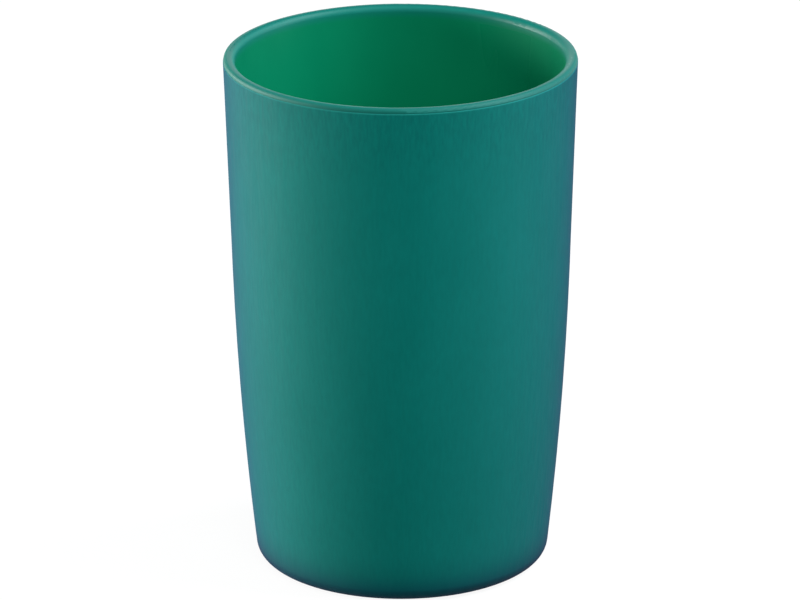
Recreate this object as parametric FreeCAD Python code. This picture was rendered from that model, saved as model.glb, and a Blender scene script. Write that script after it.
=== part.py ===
import FreeCAD, Part
import math
import os

# A two-shell bathroom tumbler, in millimetres and degrees.
# +Z is up, and the origin is the centre of the footprint on the surface that it stands on.

# Overall form
height = 108.0
rim_diameter = 72.0
wall_draft = 1.85
straight_height = 44.0
bow_radius = 770.0
base_corner_radius = 3.0

# Lip of the inner cup, which caps the top edge of the outer shell and stands back from it by a fine step
lip_height = 1.0
lip_step = 0.1
lip_outer_radius = 0.75
lip_inner_radius = 1.3

# Inner cup, whose steeper draft opens an air gap below the lip
cup_wall = 1.1
cup_floor = 1.6
cup_corner_radius = 6.0
gap_draft = 0.8
floor_gap = 1.5
joint_clearance = 0.1

# Outer shell
shell_wall = 1.2
shell_floor = 2.2
shell_corner_radius = 1.5
shell_edge_radius = 0.09

# Underside of the shell: outer land, ring groove, inner land, raised panel and gate mark
base_land = 1.6
panel_land = 1.4
panel_depth = 0.8
panel_slope = 1.2
gate_radius = 3.0
gate_depth = 0.35
gate_nub_radius = 0.9
gate_nub_height = 0.2

# Non-slip ring, pressed into its groove and standing proud of the base
ring_width = 3.2
ring_height = 1.4
ring_proud = 0.3
ring_edge_radius = 0.3
ring_clearance = 0.05

# Levels and radii that follow from the sizes above
seam_level = height - lip_height
shell_floor_level = ring_proud + shell_floor
cup_base_level = shell_floor_level + floor_gap
cup_floor_level = cup_base_level + cup_floor
rim_radius = rim_diameter / 2
lip_radius = rim_radius - lip_step
shell_lean = math.radians(wall_draft)
cup_lean = math.radians(wall_draft + gap_draft)
shell_bore_radius = rim_radius - shell_wall / math.cos(shell_lean)
cup_mouth_radius = shell_bore_radius - joint_clearance


def point(radius, level):
    return FreeCAD.Vector(radius, 0, level)


def lines(*corners):
    """Straight edges from each corner to the next."""
    return [Part.makeLine(start, end) for start, end in zip(corners, corners[1:])]


def arc(centre, start, end):
    """The shorter arc about a centre."""
    halfway = (start - centre) + (end - centre)
    middle = centre + halfway * ((start - centre).Length / halfway.Length)
    return Part.Arc(start, middle, end).toShape()


def turn(edges):
    """The solid that a closed half-section makes when it turns about Z."""
    section = Part.Face(Part.Wire(edges))
    return section.revolve(FreeCAD.Vector(), FreeCAD.Vector(0, 0, 1), 360)


class WallFace:
    """One face of a tumbler wall: a floor corner, a long bow and a straight drafted stretch up to the top.

    The face leans from mouth_radius at the seam, and inset moves it square to itself, towards the axis.
    """

    def __init__(self, mouth_radius, lean, inset, floor_level, corner_radius, top_level):
        inward = point(-math.cos(lean), math.sin(lean))
        drop = point(-math.tan(lean), -1) * straight_height
        bow_start = point(mouth_radius, seam_level) + drop
        bow_centre = bow_start + inward * bow_radius
        face_radius = bow_radius - inset
        corner_level = floor_level + corner_radius
        corner_reach = math.sqrt((face_radius - corner_radius) ** 2 - (corner_level - bow_centre.z) ** 2)
        corner_centre = point(bow_centre.x + corner_reach, corner_level)
        outward = corner_centre - bow_centre
        bow_end = bow_centre + outward * (face_radius / outward.Length)
        bow_top = bow_start + inward * inset
        rise = top_level - seam_level
        self.bottom = point(corner_centre.x, floor_level)
        self.top = point(mouth_radius - inset / math.cos(lean) + rise * math.tan(lean), top_level)
        self.edges_up = [
            arc(corner_centre, self.bottom, bow_end),
            arc(bow_centre, bow_end, bow_top),
            Part.makeLine(bow_top, self.top),
        ]
        self.edges_down = self.edges_up[::-1]


def make_inner_cup():
    lip_level = height - lip_inner_radius
    inside_top_level = lip_level + lip_inner_radius * math.sin(cup_lean)
    outside = WallFace(
        cup_mouth_radius, cup_lean, 0, cup_base_level, cup_corner_radius + cup_wall, seam_level
    )
    inside = WallFace(
        cup_mouth_radius, cup_lean, cup_wall, cup_floor_level, cup_corner_radius, inside_top_level
    )
    outer_centre = point(lip_radius - lip_outer_radius, height - lip_outer_radius)
    outer_start = point(lip_radius, outer_centre.z)
    outer_end = point(outer_centre.x, height)
    inner_centre = point(inside.top.x + lip_inner_radius * math.cos(cup_lean), lip_level)
    inner_start = point(inner_centre.x, height)
    lip = lines(outside.top, point(lip_radius, seam_level), outer_start)
    lip.append(arc(outer_centre, outer_start, outer_end))
    lip += lines(outer_end, inner_start)
    lip.append(arc(inner_centre, inner_start, inside.top))
    floor = lines(inside.bottom, point(0, cup_floor_level), point(0, cup_base_level), outside.bottom)
    return turn(outside.edges_up + lip + inside.edges_down + floor)


def shell_outside():
    top_level = seam_level - shell_edge_radius * (1 + math.sin(shell_lean))
    return WallFace(rim_radius, shell_lean, 0, ring_proud, base_corner_radius, top_level)


def groove_radii():
    """Outer and inner radius of the ring groove, set in from the edge of the flat base."""
    outer = shell_outside().bottom.x - base_land
    return outer, outer - ring_width


def make_outer_shell():
    outside = shell_outside()
    inside = WallFace(rim_radius, shell_lean, shell_wall, shell_floor_level, shell_corner_radius, seam_level)
    groove_outer, groove_inner = groove_radii()
    groove_level = ring_height
    panel_edge = groove_inner - panel_land
    panel_level = ring_proud + panel_depth
    gate_level = panel_level + gate_depth
    nub_level = gate_level - gate_nub_height
    underside = lines(
        point(0, nub_level),
        point(gate_nub_radius, nub_level),
        point(gate_nub_radius, gate_level),
        point(gate_radius, gate_level),
        point(gate_radius, panel_level),
        point(panel_edge - panel_slope, panel_level),
        point(panel_edge, ring_proud),
        point(groove_inner, ring_proud),
        point(groove_inner, groove_level),
        point(groove_outer, groove_level),
        point(groove_outer, ring_proud),
        outside.bottom,
    )
    edge_centre = outside.top + point(-math.cos(shell_lean), math.sin(shell_lean)) * shell_edge_radius
    edge_end = point(edge_centre.x, seam_level)
    top_edge = [arc(edge_centre, outside.top, edge_end)]
    top_edge += lines(edge_end, inside.top)
    floor = lines(inside.bottom, point(0, shell_floor_level), point(0, nub_level))
    return turn(underside + outside.edges_up + top_edge + inside.edges_down + floor)


def make_non_slip_ring():
    groove_outer, groove_inner = groove_radii()
    outer = groove_outer - ring_clearance
    inner = groove_inner + ring_clearance
    outer_centre = point(outer - ring_edge_radius, ring_edge_radius)
    inner_centre = point(inner + ring_edge_radius, ring_edge_radius)
    outer_foot = point(outer_centre.x, 0)
    inner_foot = point(inner_centre.x, 0)
    outer_side = point(outer, ring_edge_radius)
    inner_side = point(inner, ring_edge_radius)
    section = lines(outer_side, point(outer, ring_height), point(inner, ring_height), inner_side)
    section.append(arc(inner_centre, inner_side, inner_foot))
    section += lines(inner_foot, outer_foot)
    section.append(arc(outer_centre, outer_foot, outer_side))
    return turn(section)


pieces = {
    "inner_cup": make_inner_cup(),
    "outer_shell": make_outer_shell(),
    "non_slip_ring": make_non_slip_ring(),
}

os.makedirs("parts", exist_ok=True)
for name, shape in pieces.items():
    shape.exportStep(f"parts/{name}.step")
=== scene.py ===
import math

import bpy
from mathutils import Matrix, Vector


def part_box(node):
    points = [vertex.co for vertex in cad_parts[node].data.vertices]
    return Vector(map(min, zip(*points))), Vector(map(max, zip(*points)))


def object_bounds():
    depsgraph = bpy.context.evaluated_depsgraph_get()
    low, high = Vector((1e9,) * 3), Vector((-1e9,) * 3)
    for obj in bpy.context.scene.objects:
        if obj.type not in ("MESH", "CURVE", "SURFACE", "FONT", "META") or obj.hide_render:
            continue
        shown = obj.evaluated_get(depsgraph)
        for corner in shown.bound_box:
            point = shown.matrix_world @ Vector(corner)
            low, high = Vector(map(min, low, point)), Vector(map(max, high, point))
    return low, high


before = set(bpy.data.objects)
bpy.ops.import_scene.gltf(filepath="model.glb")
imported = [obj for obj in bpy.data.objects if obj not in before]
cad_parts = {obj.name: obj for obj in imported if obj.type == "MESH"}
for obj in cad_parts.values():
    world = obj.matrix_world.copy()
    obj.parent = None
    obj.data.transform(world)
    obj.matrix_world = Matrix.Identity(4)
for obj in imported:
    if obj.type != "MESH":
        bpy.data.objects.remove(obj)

cad_low, cad_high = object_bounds()
shell_low, shell_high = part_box("outer_shell")
seam_level = shell_high.z
rim_radius = shell_high.x
mm = 0.001

# Camera: a long lens that looks down on the tumbler's middle
image_width = 800
sensor_width = 36.0
camera_elevation = math.radians(19.849)
camera_roll = math.radians(-0.214)
camera_distance = 1.2421
clip_ratio = 100
pixels_per_metre_at_centre = 4863.9
centre_pixel_offset = Vector((1.34, -4.62))

# Light: softboxes beside, before and above the tumbler, and two strips beside it that only its gloss shows
lamp_distance = 0.96
left_radiance = 19.2
right_radiance = 8.6
left_strip_radiance = 21.0
right_strip_radiance = 15.0
front_radiance = 3.35
top_radiance = 0.9
plain_white = (1.0, 1.0, 1.0)
left_tint = (1.0, 1.0, 0.98)
right_tint = (0.95, 1.0, 1.13)

# Surroundings: a pale floor, and a white backdrop that is bright only low down
# and reaches higher behind the tumbler
floor_reach = 8.0
floor_colour = 0.085
floor_variation = 0.02
floor_roughness = 0.9
floor_glow = 0.92
ambient_radiance = 0.03
backdrop_radiance = 1.0
backdrop_dark_radiance = 0.05
backdrop_bright_below = 0.2
backdrop_dark_above = 0.3
backdrop_rise_behind = 0.2

# Noises: cells a metre along X, Y and Z, and detail
shell_mottle = (90, 90, 60), 4.0
shell_flecks = (1700, 1700, 420), 2.0
shell_grain = (2600, 2600, 2600), 3.0
shell_streaks = (1500, 1500, 60), 2.0
cup_mottle = (70, 70, 40), 3.0
cup_waves = (60, 60, 12), 2.0
ring_speckle = (1800, 1800, 1800), 3.0
floor_tone = (3, 3, 3), 2.0
usual_noise_low = 0.3
usual_noise_high = 0.7

# Shell: its colours, the levels between which they change, and how far each one covers the colour below it
shell_colours = (0.001, 0.252, 0.183), (0.002, 0.269, 0.197)
# Painted shade: the shell's colour darkens towards the base, between these two levels
painted_base_shade_colour = (0.0, 0.004, 0.05)
base_shade_low = 2.5 * mm
base_shade_high = 14 * mm
base_shade_power = 3.0
base_shade_share = 0.68
fleck_colour = (0.0, 0.12, 0.099)
fleck_share = 0.36
marks_low = seam_level - 16 * mm
marks_high = seam_level - 1 * mm
marks_lower_share = 0.5
# Painted highlight: a paler line along the shell's top edge, just under the lip
painted_edge_highlight_colour = (0.02, 0.4, 0.3)
edge_highlight_low = seam_level - 0.35 * mm
edge_highlight_high = seam_level - 0.1 * mm
edge_highlight_share = 0.5
grain_depth = 0.012 * mm
streak_depth = 0.03 * mm
shell_roughness = 0.66, 0.76
shell_specular = 0.15
skin_weight = 1.0
skin_ior = 1.02
skin_roughness = 0.7
skin_tint = (0.9, 0.815, 0.92, 1)

# Cup: its colours, where the lip and its inner rounding and outer side lie, and the roughness that these add
cup_colours = (0.001, 0.201, 0.092), (0.002, 0.22, 0.101)
# Painted shade: the lip's bluer green is darker than the inside's, for its upward faces
lip_shade_colour = (0.003, 0.15, 0.118)
# Painted highlight: a lighter green on the lip's inner rounding
painted_rounding_highlight_colour = (0.003, 0.186, 0.142)
lip_low = seam_level - 1.6 * mm
rounding_full_radius = rim_radius - 2.05 * mm
rounding_end_radius = rim_radius - 1.6 * mm
side_start_radius = rim_radius - 0.9 * mm
side_full_radius = rim_radius - 0.5 * mm
cup_roughness = 0.25, 0.34
lip_top_roughness = 0.05
lip_side_roughness = 0.27
rounding_roughness = 0.14
cup_specular = 0.2

# Ring
ring_colours = (0.02, 0.05, 0.048), (0.03, 0.066, 0.064)
speckle_depth = 0.02 * mm
ring_roughness = 0.75

# Sockets of the Mix node, which has a set for each kind of value
mix_factor = 0
mix_numbers = 2, 3
mix_number_result = 0
mix_colours = 6, 7
mix_colour_result = 2


def add_camera():
    data = bpy.data.cameras.new("photo_camera")
    camera = bpy.data.objects.new("photo_camera", data)
    bpy.context.scene.collection.objects.link(camera)
    centre = Vector((0, 0, (shell_low.z + cad_high.z) / 2))
    back = Vector((0, -math.cos(camera_elevation), math.sin(camera_elevation)))
    right = Vector((1, 0, 0))
    up = back.cross(right)
    pixel_offset = right * centre_pixel_offset.x + up * centre_pixel_offset.y
    aim = centre - pixel_offset / pixels_per_metre_at_centre
    camera.matrix_world = (
        Matrix.Translation(aim + back * camera_distance)
        @ (-back).to_track_quat("-Z", "Y").to_matrix().to_4x4()
        @ Matrix.Rotation(camera_roll, 4, "Z")
    )
    data.sensor_width = sensor_width
    data.lens = pixels_per_metre_at_centre * camera_distance * sensor_width / image_width
    data.clip_start = camera_distance / clip_ratio
    data.clip_end = camera_distance * clip_ratio
    bpy.context.scene.camera = camera


def new_material(name):
    material = bpy.data.materials.new(name)
    material.use_nodes = True
    tree = material.node_tree
    return material, tree, tree.nodes["Principled BSDF"]


def feed(tree, socket, value):
    """Sets a socket to a value, or links another node's output to it."""
    if isinstance(value, bpy.types.NodeSocket):
        tree.links.new(value, socket)
    else:
        socket.default_value = value


def add_node(tree, kind, settings=None, **sockets):
    """A shader node with its settings, and each named socket fed."""
    node = tree.nodes.new(kind)
    for name, value in (settings or {}).items():
        setattr(node, name, value)
    for name, value in sockets.items():
        feed(tree, node.inputs[name], value)
    return node


def object_axes(tree):
    """Object coordinates, apart."""
    coordinates = add_node(tree, "ShaderNodeTexCoord")
    return add_node(tree, "ShaderNodeSeparateXYZ", Vector=coordinates.outputs["Object"]).outputs


def noise(tree, scale, detail):
    """Soft noise from 0 to 1, at so many cells a metre along each axis."""
    coordinates = add_node(tree, "ShaderNodeTexCoord")
    mapping = add_node(tree, "ShaderNodeMapping", Vector=coordinates.outputs["Object"], Scale=scale)
    node = add_node(tree, "ShaderNodeTexNoise", Vector=mapping.outputs["Vector"], Scale=1.0, Detail=detail)
    return node.outputs["Fac"]


def remap(tree, value, low, high, to_low, to_high):
    """Carries low to to_low and high to to_high, and holds beyond them."""
    node = add_node(tree, "ShaderNodeMapRange", Value=value)
    node.inputs["From Min"].default_value = low
    node.inputs["From Max"].default_value = high
    node.inputs["To Min"].default_value = to_low
    node.inputs["To Max"].default_value = to_high
    return node.outputs["Result"]


def stretch(tree, value, to_low=0, to_high=1):
    """Carries the range that noise usually keeps to, as remap does."""
    return remap(tree, value, usual_noise_low, usual_noise_high, to_low, to_high)


def math_node(tree, operation, first, second=0.0):
    node = add_node(tree, "ShaderNodeMath", {"operation": operation})
    feed(tree, node.inputs[0], first)
    feed(tree, node.inputs[1], second)
    return node.outputs[0]


def blend_numbers(tree, factor, first, second):
    node = add_node(tree, "ShaderNodeMix", {"data_type": "FLOAT"})
    feed(tree, node.inputs[mix_factor], factor)
    for socket, number in zip(mix_numbers, (first, second)):
        feed(tree, node.inputs[socket], number)
    return node.outputs[mix_number_result]


def blend_colours(tree, factor, first, second):
    node = add_node(tree, "ShaderNodeMix", {"data_type": "RGBA"})
    feed(tree, node.inputs[mix_factor], factor)
    for socket, colour in zip(mix_colours, (first, second)):
        linked = isinstance(colour, bpy.types.NodeSocket)
        feed(tree, node.inputs[socket], colour if linked else (*colour, 1))
    return node.outputs[mix_colour_result]


def bump(tree, height, depth, normal=None):
    node = add_node(tree, "ShaderNodeBump", Height=height, Strength=1.0, Distance=depth)
    if normal is not None:
        tree.links.new(normal, node.inputs["Normal"])
    return node.outputs["Normal"]


def satin_shell_material():
    """Blue-green plastic with a fine grain, with painted shade that darkens it towards the base and a
    painted highlight along its top edge.

    Short upright flecks and faint draw streaks are strongest below the lip. The coat stands for a
    translucent skin: light that crosses it at a slant is tinted more, so the sides look darker and bluer.
    """
    material, tree, shader = new_material("satin_shell")
    level = object_axes(tree)["Z"]
    mottle = stretch(tree, noise(tree, *shell_mottle))
    colour = blend_colours(tree, mottle, *shell_colours)
    # Painted shade: the colour darkens towards the base
    base_shade = remap(tree, level, base_shade_low, base_shade_high, 1, 0)
    base_shade = math_node(tree, "POWER", base_shade, base_shade_power)
    base_shade = math_node(tree, "MULTIPLY", base_shade, base_shade_share)
    colour = blend_colours(tree, base_shade, colour, painted_base_shade_colour)
    below_lip = remap(tree, level, marks_low, marks_high, marks_lower_share, 1)
    flecks = stretch(tree, noise(tree, *shell_flecks), 0, fleck_share)
    flecks = math_node(tree, "MULTIPLY", flecks, below_lip)
    colour = blend_colours(tree, flecks, colour, fleck_colour)
    # Painted highlight: a paler line along the top edge
    edge_highlight = remap(tree, level, edge_highlight_low, edge_highlight_high, 0, edge_highlight_share)
    colour = blend_colours(tree, edge_highlight, colour, painted_edge_highlight_colour)
    grain = noise(tree, *shell_grain)
    streaks = noise(tree, *shell_streaks)
    roughness = stretch(tree, streaks, *shell_roughness)
    normal = bump(tree, grain, grain_depth)
    normal = bump(tree, math_node(tree, "MULTIPLY", streaks, below_lip), streak_depth, normal)
    tree.links.new(colour, shader.inputs["Base Color"])
    tree.links.new(roughness, shader.inputs["Roughness"])
    tree.links.new(normal, shader.inputs["Normal"])
    shader.inputs["Specular IOR Level"].default_value = shell_specular
    shader.inputs["Coat Weight"].default_value = skin_weight
    shader.inputs["Coat IOR"].default_value = skin_ior
    shader.inputs["Coat Roughness"].default_value = skin_roughness
    shader.inputs["Coat Tint"].default_value = skin_tint
    return material


def gloss_cup_material():
    """Polished green plastic with the faint waves of a moulded wall.

    The lip is bluer and darker than the inside, the darkness being painted shade on its upward faces; its
    inner rounding is lighter, as a painted highlight, and rougher, and its outer side is satin.
    """
    material, tree, shader = new_material("gloss_cup")
    axes = object_axes(tree)
    squares = [math_node(tree, "MULTIPLY", axes[axis], axes[axis]) for axis in ("X", "Y")]
    radius = math_node(tree, "SQRT", math_node(tree, "ADD", *squares))
    lip = remap(tree, axes["Z"], lip_low, seam_level, 0, 1)
    rounding = remap(tree, radius, rounding_full_radius, rounding_end_radius, 1, 0)
    mottle = stretch(tree, noise(tree, *cup_mottle))
    inside = blend_colours(tree, mottle, *cup_colours)
    # Painted shade on the lip, and a painted highlight on its inner rounding
    on_lip = blend_colours(tree, rounding, lip_shade_colour, painted_rounding_highlight_colour)
    colour = blend_colours(tree, lip, inside, on_lip)
    roughness = stretch(tree, noise(tree, *cup_waves), *cup_roughness)
    side = remap(
        tree, radius, side_start_radius, side_full_radius, lip_top_roughness, lip_side_roughness
    )
    satin = math_node(tree, "ADD", side, math_node(tree, "MULTIPLY", rounding, rounding_roughness))
    roughness = math_node(tree, "ADD", roughness, math_node(tree, "MULTIPLY", lip, satin))
    tree.links.new(colour, shader.inputs["Base Color"])
    tree.links.new(roughness, shader.inputs["Roughness"])
    shader.inputs["Specular IOR Level"].default_value = cup_specular
    return material


def soft_ring_material():
    """Dark matt elastomer with a fine speckle."""
    material, tree, shader = new_material("soft_ring")
    speckle = noise(tree, *ring_speckle)
    colour = blend_colours(tree, speckle, *ring_colours)
    normal = bump(tree, speckle, speckle_depth)
    tree.links.new(colour, shader.inputs["Base Color"])
    tree.links.new(normal, shader.inputs["Normal"])
    shader.inputs["Roughness"].default_value = ring_roughness
    return material


def dress(node, material):
    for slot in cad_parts[node].material_slots:
        slot.material = material


def seen_directly(tree):
    """1 for a ray from the camera, a mirror or a glass, and 0 for one that only carries light."""
    path = add_node(tree, "ShaderNodeLightPath")
    seen = math_node(tree, "ADD", path.outputs["Is Camera Ray"], path.outputs["Is Glossy Ray"])
    return math_node(tree, "ADD", seen, path.outputs["Is Transmission Ray"])


def stage_material():
    """A floor that looks white and keeps the tumbler's shadow, but throws little light on the tumbler."""
    material, tree, shader = new_material("pale_stage")
    greys = floor_colour, floor_colour + floor_variation
    colour = blend_colours(tree, noise(tree, *floor_tone), *[(grey, grey, grey) for grey in greys])
    glow = math_node(tree, "MULTIPLY", seen_directly(tree), floor_glow)
    tree.links.new(colour, shader.inputs["Base Color"])
    tree.links.new(glow, shader.inputs["Emission Strength"])
    shader.inputs["Emission Color"].default_value = (*plain_white, 1)
    shader.inputs["Roughness"].default_value = floor_roughness
    shader.inputs["Specular IOR Level"].default_value = 0.0
    material.cycles.emission_sampling = "NONE"
    return material


def add_floor():
    signs = (-1, -1), (1, -1), (1, 1), (-1, 1)
    corners = [(x * floor_reach, y * floor_reach, 0) for x, y in signs]
    mesh = bpy.data.meshes.new("floor")
    mesh.from_pydata(corners, [], [(0, 1, 2, 3)])
    floor = bpy.data.objects.new("floor", mesh)
    bpy.context.scene.collection.objects.link(floor)
    mesh.materials.append(stage_material())


def add_softbox(name, bearing, elevation, size, radiance, tint=plain_white):
    """A rectangular light that faces the tumbler; bearings run from the camera's side, to the right."""
    bearing = math.radians(bearing)
    elevation = math.radians(elevation)
    outward = Vector((
        math.sin(bearing) * math.cos(elevation),
        -math.cos(bearing) * math.cos(elevation),
        math.sin(elevation),
    ))
    centre = Vector((0, 0, cad_high.z / 2))
    data = bpy.data.lights.new(name, "AREA")
    data.shape = "RECTANGLE"
    data.size, data.size_y = size
    data.energy = radiance * math.pi * size[0] * size[1]
    data.color = tint
    lamp = bpy.data.objects.new(name, data)
    bpy.context.scene.collection.objects.link(lamp)
    lamp.location = centre + outward * lamp_distance
    lamp.rotation_mode = "QUATERNION"
    lamp.rotation_quaternion = (-outward).to_track_quat("-Z", "Y")
    lamp.visible_camera = False
    return lamp


def add_lights():
    """The side lamps light everything, the strips only gloss, and the front and top lamps all but gloss."""
    add_softbox(
        "left_softbox", bearing=-105, elevation=6, size=(0.8, 0.32),
        radiance=left_radiance, tint=left_tint,
    )
    add_softbox(
        "right_softbox", bearing=90, elevation=45, size=(0.64, 0.64),
        radiance=right_radiance, tint=right_tint,
    )
    left_strip = add_softbox(
        "left_strip", bearing=-94, elevation=6, size=(0.4, 0.32),
        radiance=left_strip_radiance, tint=left_tint,
    )
    right_strip = add_softbox(
        "right_strip", bearing=92, elevation=6, size=(0.25, 0.32),
        radiance=right_strip_radiance, tint=right_tint,
    )
    front_softbox = add_softbox(
        "front_softbox", bearing=0, elevation=40, size=(0.8, 0.64), radiance=front_radiance
    )
    top_softbox = add_softbox(
        "top_softbox", bearing=0, elevation=90, size=(1.1, 1.1), radiance=top_radiance
    )
    left_strip.visible_diffuse = False
    right_strip.visible_diffuse = False
    front_softbox.visible_glossy = False
    top_softbox.visible_glossy = False


def add_world():
    """A white backdrop, bright near the horizon and dark above, and a weak even light."""
    world = bpy.data.worlds.new("studio")
    world.use_nodes = True
    world.cycles.sampling_method = "NONE"
    tree = world.node_tree
    background = tree.nodes["Background"]
    coordinates = add_node(tree, "ShaderNodeTexCoord")
    direction = add_node(tree, "ShaderNodeSeparateXYZ", Vector=coordinates.outputs["Generated"]).outputs
    rise = math_node(tree, "MULTIPLY", direction["Y"], backdrop_rise_behind)
    height = math_node(tree, "SUBTRACT", direction["Z"], rise)
    backdrop = remap(
        tree, height, backdrop_bright_below, backdrop_dark_above, backdrop_radiance, backdrop_dark_radiance
    )
    strength = blend_numbers(tree, seen_directly(tree), ambient_radiance, backdrop)
    tree.links.new(strength, background.inputs["Strength"])
    background.inputs["Color"].default_value = (*plain_white, 1)
    bpy.context.scene.world = world


dress("outer_shell", satin_shell_material())
dress("inner_cup", gloss_cup_material())
dress("non_slip_ring", soft_ring_material())
add_floor()
add_lights()
add_world()
add_camera()
bpy.context.scene.view_settings.view_transform = "Standard"
